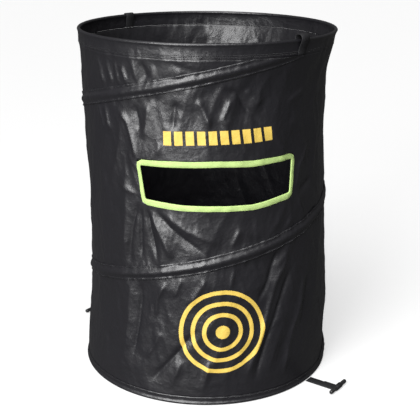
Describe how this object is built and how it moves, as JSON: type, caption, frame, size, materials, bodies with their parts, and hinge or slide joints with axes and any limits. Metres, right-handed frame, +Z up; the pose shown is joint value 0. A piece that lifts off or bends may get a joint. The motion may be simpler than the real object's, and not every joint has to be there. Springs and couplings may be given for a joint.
{
  "type": "pop-up disc target",
  "caption": "Fabric tube on a spiral spring wire, open at the top, with a wide bound slot in front, hemmed rings at rim and base, and toggle straps that hold it collapsed.",
  "frame": {"origin": "centre of the base on the ground", "axes": "+Z up along the tube, and the slot faces -Y"},
  "size_m": [0.5264, 0.506, 0.6945],
  "materials": {
    "fabric": "thin glossy black nylon taffeta",
    "binding": "lime green woven binding tape",
    "steel": "bright spring steel",
    "webbing": "black ribbed webbing",
    "toggle": "satin black moulded plastic"
  },
  "bodies": {
    "base": {"floor_panel": "fabric", "base_hem": "fabric", "base_wire": "steel", "base_ferrule": "steel", "front_panel": "fabric", "rear_panel": "fabric", "slot_binding": "binding", "spring_wire": "steel", "spiral_sleeve": "fabric"},
    "rim": {"rim_hem": "fabric", "rim_wire": "steel", "rim_ferrule": "steel", "loop_right": "webbing", "loop_left": "webbing"},
    "strap_right": {"strap_right": "webbing"},
    "strap_left": {"strap_left": "webbing"},
    "toggle_right": {"toggle_right": "toggle"},
    "toggle_left": {"toggle_left": "toggle"}
  },
  "joints": [
    {"name": "collapse", "type": "slide", "parent": "base", "child": "rim", "axis": [0, 0, -1], "range_m": [0, 0.63], "stiffness_N_per_m": 60, "springref_m": -0.1, "deforming": ["front_panel", "rear_panel", "slot_binding", "spring_wire", "spiral_sleeve"]},
    {"name": "strap_right_fold", "type": "hinge", "parent": "base", "child": "strap_right", "pos_m": [0.19158, -0.16654, 0.00075], "axis": [-0.6561, -0.7547, 0], "range_deg": [0, 85]},
    {"name": "toggle_right_turn", "type": "hinge", "parent": "strap_right", "child": "toggle_right", "pos_m": [0.24215, -0.2105, 0.00558], "axis": [-0.6561, -0.7547, 0], "range_deg": [-90, 90]},
    {"name": "strap_left_fold", "type": "hinge", "parent": "base", "child": "strap_left", "pos_m": [-0.19158, 0.16654, 0.00075], "axis": [0.6561, 0.7547, 0], "range_deg": [0, 85]},
    {"name": "toggle_left_turn", "type": "hinge", "parent": "strap_left", "child": "toggle_left", "pos_m": [-0.24215, 0.2105, 0.00558], "axis": [0.6561, 0.7547, 0], "range_deg": [-90, 90]}
  ]
}
